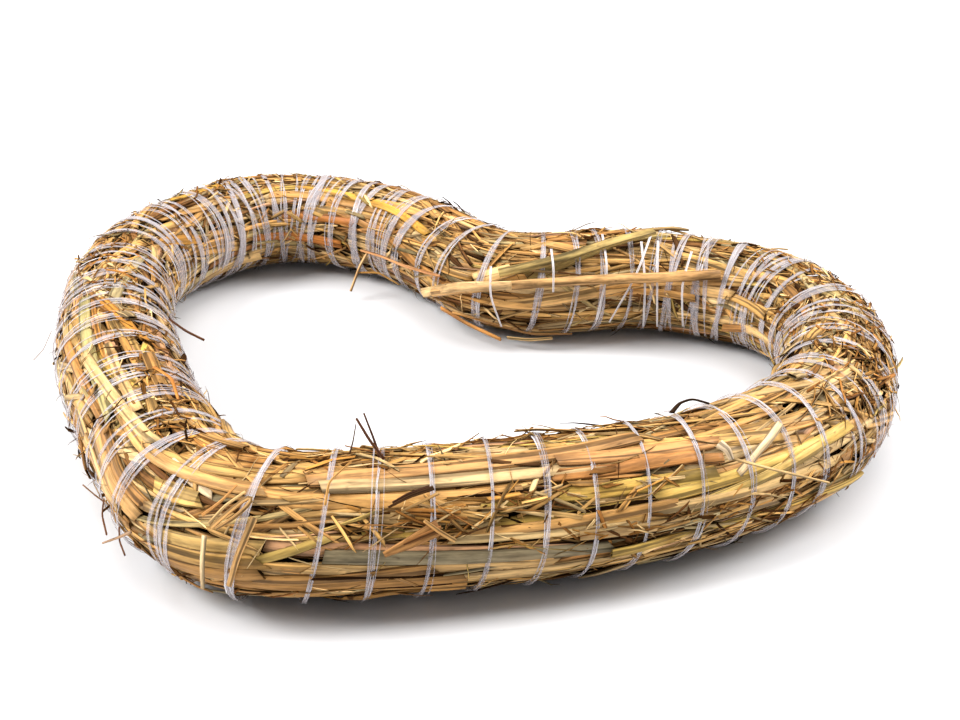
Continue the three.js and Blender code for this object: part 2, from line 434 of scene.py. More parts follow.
limb_pitch = 13.5
lobe_pitch = 11
lobe_middles = (0.36, 0.64)
lobe_reach = 0.13
lobe_core = 0.08
waist_depth = 0.6
waist_half_width = 4.5
bulge_height = 0.3
lump_height = 0.75
lump_length = 22
winding_steps = 4000


def ease(value, low, high):
    share = np.clip((value - low) / (high - low), 0, 1)
    return share * share * (3 - 2 * share)


winding_share = (np.arange(winding_steps) + 0.5) / winding_steps
from_lobe = np.abs(winding_share[:, None] - np.array(lobe_middles)).min(axis=1)
pitches = limb_pitch + (lobe_pitch - limb_pitch) * (1 - ease(from_lobe, lobe_core, lobe_reach))
winding_turns = np.concatenate([[0], np.cumsum(rope_length / winding_steps / pitches)])
windings = round(winding_turns[-1])
winding_turns *= windings / winding_turns[-1]
winding_distance = np.linspace(0, rope_length, winding_steps + 1)


def thread_distance(turn):
    """Where the thread is along the rope after a number of turns. It wanders by a millimetre or two."""
    laps = np.floor(turn / windings)
    even = np.interp(turn - laps * windings, winding_turns, winding_distance) + laps * rope_length
    lap_turn = 2 * math.pi * turn / windings
    wander = 0.9 * np.sin(17 * lap_turn + 1) + 0.6 * np.sin(43 * lap_turn) + 0.4 * np.sin(71 * lap_turn)
    return even + wander


first_angle = math.pi / 12
grid_along = int(rope_length)
grid_round = 132
cell_along = rope_length / grid_along
grid_distance = np.arange(grid_along) * cell_along
from_thread = np.empty((grid_along, grid_round))
for column in range(grid_round):
    cell_turn = (2 * math.pi * column / grid_round - first_angle) / (2 * math.pi)
    passing = thread_distance(np.arange(-2, windings + 2) + cell_turn)
    from_thread[:, column] = np.abs(grid_distance[:, None] - passing[None]).min(axis=1)


def lumps(rng, length, width):
    """Soft random heights over the rope, about -2 to 2, that join up all round and all along."""
    rows = int(rope_length / length)
    columns = int(grid_round / width)
    coarse = rng.normal(0, 1, (rows, columns))
    at_row = np.arange(grid_along) * rows / grid_along
    at_column = np.arange(grid_round) * columns / grid_round
    low_row, low_column = at_row.astype(int), at_column.astype(int)
    row_share = ease(at_row - low_row, 0, 1)[:, None]
    column_share = ease(at_column - low_column, 0, 1)[None]
    upper = coarse[low_row] * (1 - row_share) + coarse[(low_row + 1) % rows] * row_share
    return upper[:, low_column] * (1 - column_share) + upper[:, (low_column + 1) % columns] * column_share


# The bent parts are rougher than the straight limbs, because the machine breaks the straw there.
mess_places = (0, 120, 160, 230, 280, 320, 375, 420, 560, 640, 700, 740, rope_length)
mess_shares = (0.3, 0.15, 0.8, 1.0, 0.7, 0.3, 0.3, 0.9, 1.0, 0.9, 0.7, 0.5, 0.3)
grid_mess = np.interp(grid_distance, mess_places, mess_shares)[:, None]
lump_rng = np.random.default_rng(7)
ceiling = bulge_height - (waist_depth + bulge_height) * (1 - ease(from_thread, 0.8, waist_half_width))
ceiling += lump_height * (0.5 + 0.6 * grid_mess) * lumps(lump_rng, lump_length, lump_length)
ceiling += 0.5 * lumps(lump_rng, 9, 9) * (0.3 + grid_mess)
ceiling = np.clip(ceiling, -2.6, 1.9)

# The laying of the straw
# Stalks lie along the rope, each on those under it and bent over them a little. None stands higher than the
# thread and the machine's ring let it, and each new one goes where the straw is thinnest.

heap = np.full((grid_along, grid_round), -core_depth)
straw_albedo = np.array((1.07, 0.9, 0.77))
floor_gap = 0.03
laid_pieces = []


def cell_of(distance, angle):
    row = np.rint(distance / cell_along).astype(int) % grid_along
    column = np.rint(angle * grid_round / (2 * math.pi)).astype(int) % grid_round
    return row, column


def trace(strips, points):
    """Paths over the rope from their middles, as distances, angles and headings, each (strips, points).
    A heading of 0 is along the rope, and a quarter turn is up its outside."""
    half = points // 2
    step = strips["length"] / (points - 1)
    shape = (len(step), points)
    distances, angles, headings = np.empty(shape), np.empty(shape), np.empty(shape)
    for way in (1, -1):
        distance, angle, heading = strips["distance"], strips["angle"], strips["heading"]
        distances[:, half], angles[:, half], headings[:, half] = distance, angle, heading
        for i in range(1, half + 1):
            distance = distance + way * step * np.cos(heading) / stretch(distance, angle)
            angle = angle + way * step * np.sin(heading) / (rope_width / 2)
            heading = heading + way * step * strips["curl"]
            distances[:, half + way * i] = distance
            angles[:, half + way * i] = angle
            headings[:, half + way * i] = heading
    return distances, angles, headings


def smoother(points, spread):
    """A table that softens a row of values when it is multiplied with them."""
    at = np.arange(points)
    weights = np.exp(-0.5 * ((at[:, None] - at[None]) / spread) ** 2)
    return weights / weights.sum(axis=1)[:, None]


def lay(paths, strips, tries, stiffness, sink, over):
    """Lays one path of every `tries` on the heap, and returns which ones and their undersides' heights.
    A strip sinks by a share of its thickness into what it crosses, and stands over the ceiling by `over`."""
    distances, angles, headings = paths
    count, points = distances.shape
    groups = count // tries
    smooth = smoother(points, stiffness)
    fine = np.linspace(0, points - 1, points * 3)
    low = np.minimum(fine.astype(int), points - 2)
    share = fine - low
    across = np.array([-0.4, 0.0, 0.4])
    edge_drop = 0.2
    chosen = np.empty(groups, int)
    heights = np.empty((groups, points))
    for group in range(groups):
        pick = slice(group * tries, (group + 1) * tries)
        rows, columns = cell_of(distances[pick], angles[pick])
        best = group * tries + int(np.argmin(heap[rows, columns].mean(axis=1)))
        heading = headings[best][:, None]
        width, thickness = strips["width"][best], strips["thickness"][best]
        side_distance = distances[best][:, None] - np.sin(heading) * across * width
        side_angle = angles[best][:, None] + np.cos(heading) * across * width / (rope_width / 2)
        rows, columns = cell_of(side_distance, side_angle)
        under = smooth @ heap[rows, columns].max(axis=1) - sink * thickness
        limit = smooth @ ceiling[rows, columns].mean(axis=1) + over + strips["over"][best] - thickness
        base = np.minimum(under, limit)
        chosen[group] = best
        heights[group] = base
        fine_top = base[low] * (1 - share) + base[low + 1] * share + thickness
        onward = share[:, None]
        fine_distance = side_distance[low] * (1 - onward) + side_distance[low + 1] * onward
        fine_angle = side_angle[low] * (1 - onward) + side_angle[low + 1] * onward
        rows, columns = cell_of(fine_distance, fine_angle)
        top = np.repeat(fine_top[:, None], 3, axis=1)
        top[:, (0, 2)] -= edge_drop * thickness
        np.maximum.at(heap, (rows, columns), top)
    return chosen, heights


def scattered(
    rng, count, tries, length, width, thickness_share, spread, astray, astray_turn, curl, pockets=None,
):
    """Strips for every part of the rope, or only for its pockets. A pocket is a distance, an angle in degrees
    and how far it reaches along and round. Where the rope is in a mess, strips are shorter and turn more."""
    narrow_more_often = 1.3
    mess_turns = 3.4
    mess_shortens = 0.6
    uneven_height = 0.25
    total = count * tries
    widths = width[0] + (width[1] - width[0]) * rng.random(total) ** narrow_more_often
    distance = rng.uniform(0, rope_length, total)
    angle = rng.uniform(0, 2 * math.pi, total)
    if pockets:
        table = np.array(pockets, float)
        area = table[:, 2] * table[:, 3]
        at = table[np.repeat(rng.choice(len(table), count, p=area / area.sum()), tries)]
        distance = at[:, 0] + rng.normal(0, 0.5, total) * at[:, 2]
        angle = np.radians(at[:, 1] + rng.normal(0, 0.5, total) * at[:, 3])
    mess = np.interp(distance % rope_length, mess_places, mess_shares)
    heading = rng.normal(0, 1, total) * spread * (1 + mess_turns * mess)
    strays = rng.random(total) < astray * (0.5 + 1.5 * mess)
    heading = np.where(strays, rng.uniform(-1, 1, total) * astray_turn, heading)
    return dict(
        distance=distance,
        angle=angle,
        heading=heading,
        curl=rng.normal(0, 1, total) * curl,
        length=rng.uniform(*length, total) * (1 - mess_shortens * mess),
        width=widths,
        thickness=widths * rng.uniform(*thickness_share, total),
        over=rng.normal(0, uneven_height, total),
    )


def pick_colours(rng, palette, count, spread):
    """A base colour for each strip: one of the palette's, by weight, with its own lightness."""
    names = list(palette)
    weights = np.array([palette[name] for name in names], float)
    table = np.array([linear(name) for name in names])
    chosen = table[rng.choice(len(names), count, p=weights / weights.sum())]
    return chosen * np.exp(rng.normal(0, spread, (count, 1)))


def strip_places(rng, paths, chosen, heights, strips, section, look):
    """Distances, angles and heights of the laid strips' points. The section is points of (across, up), from
    -1 to 1 and 0 to 1. Ends are narrowed, cut at a slant and lifted off by chance."""
    distances, angles, headings = (values[chosen] for values in paths)
    width = strips["width"][chosen][:, None, None]
    thickness = strips["thickness"][chosen][:, None, None]
    count, points = distances.shape
    along = np.linspace(0, 1, points)[None, :, None]
    from_end = np.minimum(along, 1 - along) * strips["length"][chosen][:, None, None]
    tip_share = rng.uniform(*look["tip_share"], (count, 1, 1))
    narrow = 1 - (1 - tip_share) * (1 - ease(from_end, 0, look["taper"]))
    side = section[None, None, :, 0] * width / 2 * narrow
    slant = np.zeros((count, points, 1))
    slant[:, 0, 0] = rng.normal(0, look["slant"], count)
    slant[:, -1, 0] = rng.normal(0, look["slant"], count)
    head = headings[:, :, None]
    forward = side * slant
    distance = distances[:, :, None] + forward * np.cos(head) - side * np.sin(head)
    radius = rope_width / 2 + heights[:, :, None]
    angle = angles[:, :, None] + (forward * np.sin(head) + side * np.cos(head)) / radius
    lifted = rng.random((count, 2)) < look["lift_chance"]
    lift = np.where(lifted, rng.uniform(*look["lift"], (count, 2)), 0)
    start_lift = lift[:, :1] * ease(-along[:, :, 0], -look["lift_share"], 0)
    end_lift = lift[:, 1:] * ease(along[:, :, 0], 1 - look["lift_share"], 1)
    tilt = rng.normal(0, look["tilt"], (count, 1, 1)) * side
    height = heights[:, :, None] + section[None, None, :, 1] * thickness * narrow
    height = height + (start_lift + end_lift)[:, :, None] + tilt
    return distance, angle, height


def add_knuckles(rng, rings, colours, chance):
    """A stalk's knuckle: a slight swelling with a dark ring, where a leaf grew."""
    swelling = 1.2
    ring_tone = (0.5, 0.42, 0.35)
    for strip in np.nonzero(rng.random(len(rings)) < chance)[0]:
        ring = rng.integers(2, rings.shape[1] - 2)
        middle = rings[strip, ring].mean(axis=0)
        rings[strip, ring] = middle + (rings[strip, ring] - middle) * swelling
        colours[strip, ring] *= ring_tone


def open_ends(rings, colours):
    """Cut ends are open tubes: the rim turns in and the end wall lies deeper, and both are painted darker as
    the shade inside the tube.
    """
    bore = 0.7
    sunk = 0.6
    # Painted shade on the rim and on the end wall.
    rim_shade = 0.8
    wall_shade = 0.22

    def turned_in(ring, beside):
        middle = ring.mean(axis=2, keepdims=True)
        rim = middle + (ring - middle) * bore
        return rim, rim + (beside - ring).mean(axis=2, keepdims=True) * sunk

    first_rim, first_wall = turned_in(rings[:, :1], rings[:, 1:2])
    last_rim, last_wall = turned_in(rings[:, -1:], rings[:, -2:-1])
    rings = np.concatenate([first_wall, first_rim, rings, last_rim, last_wall], axis=1)
    start, end = colours[:, :1], colours[:, -1:]
    first_tones = [start * wall_shade, start * rim_shade]
    last_tones = [end * rim_shade, end * wall_shade]
    return rings, np.concatenate([*first_tones, colours, *last_tones], axis=1)


def straw_piece(name, rng, strips, colours, material, section, points, tries, stiffness, sink, over, look):
    """Lays a family of strips and makes one piece of them. Their lower edges are painted darker as the shade
    between stalks, and their ends are darker.
    """
    edge_shade_depth = 0.5
    edge_slope = 0.35
    lit_from = 0.75
    end_sharpness = 8
    way_round = 2.4
    paths = trace(strips, points)
    chosen, heights = lay(paths, strips, tries, stiffness, sink, over)
    places = strip_places(rng, paths, chosen, heights, strips, section, look)
    rings = on_rope(*places)
    colours = np.broadcast_to((colours * straw_albedo)[:, None, None], rings.shape).copy()
    # Painted shade: each section is darker towards its lower edges, where the stalks beside it shade it.
    from_edge = section[:, 1] - edge_slope * np.abs(section[:, 0])
    edge_shade = 1 - edge_shade_depth * (1 - ease(from_edge, 0.0, lit_from))
    colours *= edge_shade[None, None, :, None]
    end_shade = 1 - look["end_dark"] * np.abs(np.linspace(-1, 1, points)) ** end_sharpness
    colours *= end_shade[None, :, None, None]
    if look.get("knuckle"):
        add_knuckles(rng, rings, colours, look["knuckle"])
    if look.get("hollow"):
        rings, colours = open_ends(rings, colours)
        before_ends = rings[:, 2:-2].shape[:3]
        ends = ((0, 0), (2, 2), (0, 0))
        places = [np.pad(np.broadcast_to(values, before_ends), ends, "edge") for values in places]
    rings[..., 2] = np.maximum(rings[..., 2], floor_gap)
    around_mm = way_round * strips["width"][chosen]
    piece = swept_mesh(name, rings, colours, around_mm, lengths_along(rings))
    piece.data.materials.append(material)
    laid_pieces.append((piece, colours, places))
    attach(piece, "root")


# Buried stalks
# Wheat stalks, 3 to 5 mm across, cut and pressed flatter by the machine. They fill the rope out and lie in
# the shade of the others.

pressed_section = np.array([
    (-1, 0.35), (-0.7, 0), (0.7, 0), (1, 0.35), (1, 0.7), (0.76, 1), (-0.76, 1), (-1, 0.7),
])
straw_colours = {
    "#DAB672": 5, "#CEA666": 5, "#DCC28A": 4, "#BC9256": 3.4, "#D6B672": 3, "#E0CC9A": 3,
    "#C4B680": 1.6, "#B8B088": 1.2, "#AA824E": 1.4, "#8A663E": 0.8, "#DCC268": 0.7, "#D4AC84": 1.2,
}
stalk_material = straw_material("wheat_straw_skin", 0.4, 0.42, 0.5, 0.3, 0.18)
rng = np.random.default_rng(21)
straw_piece(
    "buried_stalks", rng,
    scattered(
        rng, 330, 4, length=(45, 110), width=(3, 5), thickness_share=(0.4, 0.65),
        spread=0.1, astray=0.1, astray_turn=0.5, curl=0.001,
    ),
    pick_colours(rng, straw_colours, 330, 0.1),
    stalk_material, pressed_section, points=13, tries=4, stiffness=1.8, sink=0.35, over=-0.4,
    look=dict(tip_share=(0.6, 1), taper=6, slant=0.5, lift_chance=0.05, lift=(0.5, 2), lift_share=0.3,
        tilt=0.1, end_dark=0.3),
)

# Split stalks
# Stalks that threshing split lengthwise into gutters, thinner and duller than the whole ones. They lie with
# the hollow side down, pressed in between the others.

gutter_turns = np.radians(np.linspace(-75, 75, 5))
gutter_outer = np.stack([np.sin(gutter_turns), np.cos(gutter_turns)], axis=1)
gutter_inner = gutter_outer[::-1] * (0.86, 1) - (0, 0.3)
gutter_section = np.concatenate([gutter_outer, gutter_inner])
gutter_section[:, 1] -= gutter_section[:, 1].min()
gutter_section[:, 1] /= gutter_section[:, 1].max()
gutter_section = gutter_section[::-1]
split_material = straw_material("split_wheat_straw", 0.46, 0.4, 0.42, 0.4, 0.22)
rng = np.random.default_rng(22)
straw_piece(
    "split_stalks", rng,
    scattered(
        rng, 620, 4, length=(35, 90), width=(2, 4.4), thickness_share=(0.2, 0.36),
        spread=0.1, astray=0.14, astray_turn=0.8, curl=0.001,
    ),
    pick_colours(rng, straw_colours, 620, 0.12),
    split_material, gutter_section, points=13, tries=4, stiffness=1.8, sink=0.3, over=-0.1,
    look=dict(tip_share=(0.3, 1), taper=9, slant=0.8, lift_chance=0.08, lift=(0.5, 2), lift_share=0.3,
        tilt=0.2, end_dark=0.3),
)

# Leaf strips
# Dry leaf sheaths and blades, torn to flat ribbons, thin and dull.

ribbon_section = np.array([(-1, 0.35), (-0.5, 0), (0.5, 0), (1, 0.35), (0.62, 1), (-0.62, 1)])
leaf_colours = {
    "#D2B274": 4, "#B89254": 4, "#9A7442": 2.6, "#E8D4A0": 4, "#7A5A36": 1.6, "#ACA278": 1.4, "#584028": 1.2,
    "#C4B068": 1,
}
leaf_material = straw_material("dry_wheat_leaf", 0.58, 0.45, 0.45, 0.7, 0.18)
rng = np.random.default_rng(24)
straw_piece(
    "leaf_strips", rng,
    scattered(
        rng, 700, 4, length=(15, 60), width=(1.0, 3.2), thickness_share=(0.12, 0.2),
        spread=0.14, astray=0.18, astray_turn=1.1, curl=0.004,
    ),
    pick_colours(rng, leaf_colours, 700, 0.14),
    leaf_material, ribbon_section, points=11, tries=4, stiffness=1.4, sink=0.2, over=0.0,
    look=dict(tip_share=(0.1, 0.9), taper=9, slant=1.0, lift_chance=0.1, lift=(0.5, 3), lift_share=0.35,
        tilt=0.25, end_dark=0.2),
)

# Whole stalks
# The outer stalks, nearly straight and side by side. They are hollow, with a waxy skin and here and there a
# darker knuckle, and they carry the rope's look.

rng = np.random.default_rng(23)
straw_piece(
    "whole_stalks", rng,
    scattered(
        rng, 300, 7, length=(55, 120), width=(2.3, 4.1), thickness_share=(0.28, 0.5),
        spread=0.045, astray=0.1, astray_turn=0.5, curl=0.0005,
    ),
    pick_colours(rng, straw_colours, 300, 0.1),
    stalk_material, pressed_section, points=17, tries=7, stiffness=2.2, sink=0.4, over=0.15,
    look=dict(tip_share=(0.8, 1), taper=5, slant=0.5, lift_chance=0.08, lift=(0.5, 2.5), lift_share=0.3,
        tilt=0.1, end_dark=0.25, knuckle=0.3, hollow=True),
)

# Slivers
# Long narrow splinters of stalk, up to 2 mm wide, pressed between and over the outer stalks. Some are dark
# brown, as rain turns them, and these also serve as painted shade in the gaps.

rng = np.random.default_rng(27)
# The two near-black browns are partly rain-darkened slivers and partly painted shade for the gaps.
sliver_and_shade_colours = {**straw_colours, "#5E442A": 2.2, "#3A2A1A": 2.2}
straw_piece(
    "slivers", rng,
    scattered(
        rng, 800, 5, length=(30, 100), width=(0.6, 2.0), thickness_share=(0.25, 0.45),
        spread=0.06, astray=0.12, astray_turn=0.7, curl=0.001,
    ),
    pick_colours(rng, sliver_and_shade_colours, 800, 0.14),
    split_material, ribbon_section, points=15, tries=5, stiffness=1.8, sink=0.3, over=0.2,
    look=dict(tip_share=(0.2, 0.9), taper=10, slant=1.0, lift_chance=0.1, lift=(0.5, 3), lift_share=0.3,
        tilt=0.2, end_dark=0.15),
)

# Top stalks
# The stalks laid last, which the eye picks out: a tan pair along the near limb's top, a grey-green one low on
# its side, thin dark strips between them that are painted shade for the gaps, those that end at the tip's
# corner, and long ones across the cleft and the left lobe. Each row is distance, angle, heading, length,
# width and colour, in degrees.

top_stalk_rows = [
    (40.9, 75, 2.5, 86, 4.2, "#C6A06A"), (48.5, 63, 0.4, 96, 3.9, "#CFBB8E"),
    (37, 1, -5.1, 74, 3.8, "#8A866E"), (28, -7, -5.5, 62, 3.0, "#CDB27A"),
    (752, 3, 19.7, 46, 2.3, "#B6A35E"), (6, -9, 3, 44, 3.6, "#AC8850"),
    (6.4, -19, -1, 60, 3.5, "#A6834E"), (115, 32, 2.3, 72, 3.6, "#E0C772"),
    (112, 23, 7.9, 48, 3.0, "#E4CE80"), (114.5, 46, 28.7, 22, 2.4, "#EDDDB6"),
    (82, 66, -3.7, 46, 3.8, "#CA9E68"), (92, 54, -11.7, 24, 2.8, "#CB9B60"),
    (110, 16, -1.3, 66, 2.8, "#DCC48C"), (77.5, 56, -2.2, 40, 3.4, "#BF8E54"),
    (60, 20, 1, 60, 2.6, "#C9A365"), (55, 13, -3, 50, 2.2, "#E2CD96"), (90, 4, -3, 60, 3.2, "#B8A070"),
    (3.9, 94, 44, 17, 1.8, "#DDB16C"), (738, 57, -18, 17, 2.3, "#F4E8C6"),
    (736.5, 43, 2.7, 16, 4.6, "#EBD084"), (726.5, 60, 0, 70, 3.6, "#D9B375"),
    (745, 11, 6.9, 31, 4.2, "#BFA86C"), (745, 1, 6.8, 31, 4.2, "#B4965A"),
    (745, -10, 8.9, 31, 4.2, "#A58450"), (716, 21, -11, 40, 4.2, "#DAB67A"),
    (719, 32, -10, 36, 3.4, "#C2995C"), (711, 12, -6, 36, 3.2, "#D8B87E"),
    (710, 2, -4, 44, 3.2, "#C79E62"), (703, 14, -6, 50, 3.0, "#DCC08A"),
    (322.5, 166, 10.4, 90, 4.2, "#E0BE80"), (328.5, 120, 21.8, 59, 4.0, "#B2A56C"),
    (359, 153, 26, 16, 4.5, "#EAD298"), (325.5, 87, 8.8, 40, 4.4, "#CC9D5A"),
    (346.5, -174, -1.7, 50, 3.0, "#CBA86C"), (282, 163, 1.8, 26, 4.0, "#DDC086"),
    (429.5, 124, -5.8, 72, 3.4, "#D8AE50"), (516, 90, -3.2, 30, 3.2, "#D2AC4C"),
    (466, -175, -4.2, 34, 3.6, "#B87C3E"), (454, 156, 0, 32, 3.5, "#BD8244"),
    (551, 143, -23, 24, 4.4, "#BF9246"), (661, 57, -3.7, 80, 3.7, "#B8B47E"),
    (647.5, 70, -1.9, 44, 1.6, "#C4924A"), (692.5, 60, 5.1, 66, 3.6, "#DDC892"),
    (629, 41, -5, 42, 3.0, "#CDB77E"), (645.5, 94, 16.4, 37, 3.0, "#CC9745"),
    (691.5, 93, 3.3, 63, 2.2, "#C9A05C"), (670, 40, 2, 60, 3.2, "#C99A58"),
    # From the second row of this line on, the thin near-black strips are painted shade laid in the gaps
    # between the stalks.
    (352.5, -136, -12, 16, 2.2, "#DDBE82"), (37, 7.8, -5.1, 70, 0.9, "#2C1E12"),
    (28, -13.5, -5.5, 60, 0.9, "#2C1E12"), (8, -25.5, -1, 50, 1.0, "#33241A"),
    (55, 8, -3, 50, 0.8, "#3A2818"), (60, 26, 1, 60, 1.0, "#2C1E12"), (90, -2, -3, 60, 1.0, "#2C1E12"),
    (78, -12, -3, 50, 1.0, "#33241A"), (118, 9, -1, 50, 0.9, "#33241A"), (52, 48, 0, 60, 0.9, "#3A2818"),
]


def placed(rng, rows, thickness_share):
    distance, angle, heading, length, width = np.array([row[:5] for row in rows], float).T
    return dict(
        distance=distance,
        angle=np.radians(angle),
        heading=np.radians(heading),
        curl=np.zeros(len(rows)),
        length=length,
        width=width,
        thickness=width * rng.uniform(*thickness_share, len(rows)),
        over=np.zeros(len(rows)),
    )


rng = np.random.default_rng(31)
straw_piece(
    "top_stalks", rng,
    placed(rng, top_stalk_rows, (0.28, 0.4)),
    np.array([linear(row[5]) for row in top_stalk_rows]),
    stalk_material, pressed_section, points=17, tries=1, stiffness=2.2, sink=0.5, over=0.45,
    look=dict(tip_share=(0.75, 1), taper=4, slant=0.6, lift_chance=0.1, lift=(0.3, 1), lift_share=0.2,
        tilt=0.05, end_dark=0.2, knuckle=0.2, hollow=True),
)

# The binding thread
# One flat polypropylene film, about 2 mm wide, whitish and half clear. On the limbs it has bunched to a
# narrow strand with thick white edges. Round the lobes it spreads, split into strands that part and cross.

film_section = np.array([
    (0, 0), (1, 0.15), (0.7, 1.0), (0.3, 0.45), (-0.3, 0.45), (-0.7, 1.0), (-1, 0.15),
])
film_whiteness = np.array([0.1, 0.55, 1.0, 0.1, 0.1, 1.0, 0.55])
film_thickness = 0.2
film_way_round = 4.0
strand_steps = 30


def film_strand(seed, width, stray, lobe_only):
    """One strand all round the heart: its rings of points, in millimetres, and its whiteness. It strays from
    the thread's line, more so on the lobes, and lies on the highest straw that it crosses."""
    rng = np.random.default_rng(seed)
    steps = windings * strand_steps
    turn = np.arange(steps) / strand_steps
    angle = 2 * math.pi * turn + first_angle
    lap_turn = 2 * math.pi * turn / windings

    def wave(low, high, terms):
        """Uneven swings of about -1 to 1: sines with low to high swings each on the way round the heart."""
        total = np.zeros(steps)
        for _ in range(terms):
            total += np.sin(rng.integers(low, high) * lap_turn + rng.uniform(0, 2 * math.pi))
        return total / math.sqrt(terms / 2)

    distance = thread_distance(turn)
    mess = np.interp(distance % rope_length, mess_places, mess_shares)
    if lobe_only:
        distance = distance + stray * wave(12, 70, 6) * np.clip(1.3 * mess - 0.2, 0, 1)
    else:
        distance = distance + stray * np.clip(wave(30, 110, 6) - 0.3, -0.3, 1.3) * (0.4 + 0.6 * mess)
    rows, columns = cell_of(distance, angle)
    tops = np.max([heap[(rows + i) % grid_along, columns] for i in (-1, 0, 1)], axis=0)
    window = 3
    held = np.max([np.roll(tops, i) for i in range(-window, window + 1)], axis=0)
    kernel = np.hanning(2 * window + 3)
    kernel /= kernel.sum()
    joined = np.concatenate([held[-window - 1:], held, held[: window + 1]])
    held = np.convolve(joined, kernel, mode="valid") - 0.1
    bunched = np.clip(1 + 0.4 * wave(60, 300, 8) + 0.5 * mess * wave(20, 60, 5), 0.35, 2.4)
    if lobe_only:
        bunched *= np.clip(1.5 * mess - 0.2, 0.1, 1) * (1 + 0.9 * np.clip(-np.cos(angle), 0, 1))
    across = film_section[None, :, 0] * (width / 2 * bunched)[:, None]
    heights = held[:, None] + film_section[None, :, 1] * film_thickness
    np.maximum.at(heap, (rows, columns), held + film_thickness)
    # Whiteness along the strand: partly where the film is stretched, partly painted glints where it catches
    # the light.
    stretch_and_glint = np.clip(0.7 - 0.1 * bunched + 0.45 * wave(90, 300, 6), 0.08, 1.3)
    whiteness = film_whiteness[None] * stretch_and_glint[:, None]
    if lobe_only:
        whiteness = 0.36 * whiteness + 0.15
    return on_rope(distance[:, None] + across, angle[:, None] + 0 * across, heights), whiteness


film = empty_material("polypropylene_film")
tree = film.node_tree
film_tone = add_node(tree, "ShaderNodeAttribute", {"attribute_name": "tone"}, {}).outputs["Fac"]
film_grain = add_node(tree, "ShaderNodeUVMap", {"uv_map": "grain"}, {}).outputs["UV"]
# Lengthwise draw lines, 0.4 mm apart.
draw_lines = grain_noise(tree, film_grain, 2.5, 0.12, 2.0)
film_bump = add_node(tree, "ShaderNodeBump", {}, {
    "Strength": 0.4,
    "Distance": 0.08 * MM,
    "Height": draw_lines,
})
# Where the film is stretched or folded, and where glints are painted on it, it is whiter and lets less
# through.
film_alpha = map_range(tree, film_tone, 0.0, 1.0, 0.16, 0.8)
film_colour = mix(tree, film_tone, (*linear("#C4BABE"), 1), (*linear("#F6F2F2"), 1))
film_shader = add_node(tree, "ShaderNodeBsdfPrincipled", {}, {
    "Base Color": film_colour,
    "Roughness": 0.2,
    "IOR": 1.49,
    "Alpha": film_alpha,
    "Normal": film_bump.outputs[0],
})
add_node(tree, "ShaderNodeOutputMaterial", {}, {"Surface": film_shader.outputs[0]})


def film_piece(name, rings, whiteness):
    tones = np.repeat(whiteness[..., None], 3, axis=-1)
    piece = swept_mesh(name, rings, tones, np.full(len(rings), film_way_round), lengths_along(rings))
    piece.data.materials.append(film)
    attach(piece, "root")
    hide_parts("binding_thread")


# The first two strands bind all of the rope. The others are hair-thin on the limbs and show on the lobes.
strands = [
    film_strand(1, 0.85, 0.0, False),
    film_strand(2, 0.4, 2.2, False),
    film_strand(3, 0.9, 3.6, True),
    film_strand(4, 0.8, 3.6, True),
    film_strand(5, 1.4, 3.8, True),
]
film_piece(
    "thread_strands",
    np.stack([np.concatenate([rings, rings[:1]]) for rings, _ in strands]),
    np.stack([np.concatenate([whiteness, whiteness[:1]]) for _, whiteness in strands]),
)

# Taut strands
# Where the straw is hollow, at the cleft, the film runs straight from ridge to ridge. The last three rows are
# the thread's two ends and the knot that joins them, at the back of the cleft. Each row is a strand's places:
# distance, angle in degrees and height.


def smooth_curve(places, points):
    """A soft curve through places over the rope, as points and the direction away from the rope."""
    table = np.array(places, float)
    marks = on_rope(table[:, 0], np.radians(table[:, 1]), table[:, 2])
    outer = on_rope(table[:, 0], np.radians(table[:, 1]), table[:, 2] + 1.0)
    at = np.linspace(0, len(table) - 1, points)
    knots = np.arange(len(table))
    line = np.stack([np.interp(at, knots, marks[:, i]) for i in range(3)], axis=1)
    away = np.stack([np.interp(at, knots, (outer - marks)[:, i]) for i in range(3)], axis=1)
    softened = smoother(points, 1.0) @ line
    softened[0], softened[-1] = line[0], line[-1]
    return softened, away


def free_rings(places, points, section, width, thickness):
    """Rings of points for one strip that stands free of the rope, with a width for each end."""
    line, away = smooth_curve(places, points)
    ahead = np.gradient(line, axis=0)
    ahead /= np.linalg.norm(ahead, axis=1)[:, None]
    side = np.cross(ahead, away)
    side /= np.linalg.norm(side, axis=1)[:, None] + 1e-9
    rise = np.cross(side, ahead)
    widths = np.linspace(width[0], width[1], points)[:, None, None]
    rings = line[:, None] + side[:, None] * section[None, :, :1] * widths / 2
    rings = rings + rise[:, None] * section[None, :, 1:] * thickness
    rings[..., 2] = np.maximum(rings[..., 2], floor_gap)
    return rings


taut_rows = [
    [(345, 124, 1.2), (345, 145, 3.2), (345, 166, 1.4)],
    [(326, 108, 1.2), (328, 150, 3.3), (331, 198, 1.2)],
    [(305, 108, 1.2), (315, 155, 3.4), (326, 202, 1.2)],
    [(310, 120, 1.2), (308, 162, 3.2), (306, 212, 1.0)],
    [(302, 118, 1.2), (300, 162, 3.2), (298, 210, 1.0)],
    [(359, 146, 1.2), (358, 172, 3.0), (356, 208, 1.0)],
    [(287, 126, 1.2), (288, 160, 2.8), (286, 204, 1.0)],
    [(382, 10, 0.4), (383, -1, 2.0), (385, -9, 2.6), (387, -18, 5.0)],
    [(381.5, -16, 0.4), (382.5, -4, 2.2), (380.5, 4, 3.0), (379, 14, 5.5)],
    [(380.5, -7, 0.6), (383.5, -5, 2.8), (384, 0, 2.8), (381, 2, 0.8)],
]
taut_points = 9
film_piece(
    "taut_strands",
    np.stack([free_rings(row, taut_points, film_section, (0.9, 0.7), film_thickness) for row in taut_rows]),
    np.broadcast_to(film_whiteness * 0.5 + 0.45, (len(taut_rows), taut_points, len(film_section))),
)

# Broken bits
# Short ends of stalk and leaf that threshing broke. They are wedged between the stalks, and some pockets on
# the rope hold little else.

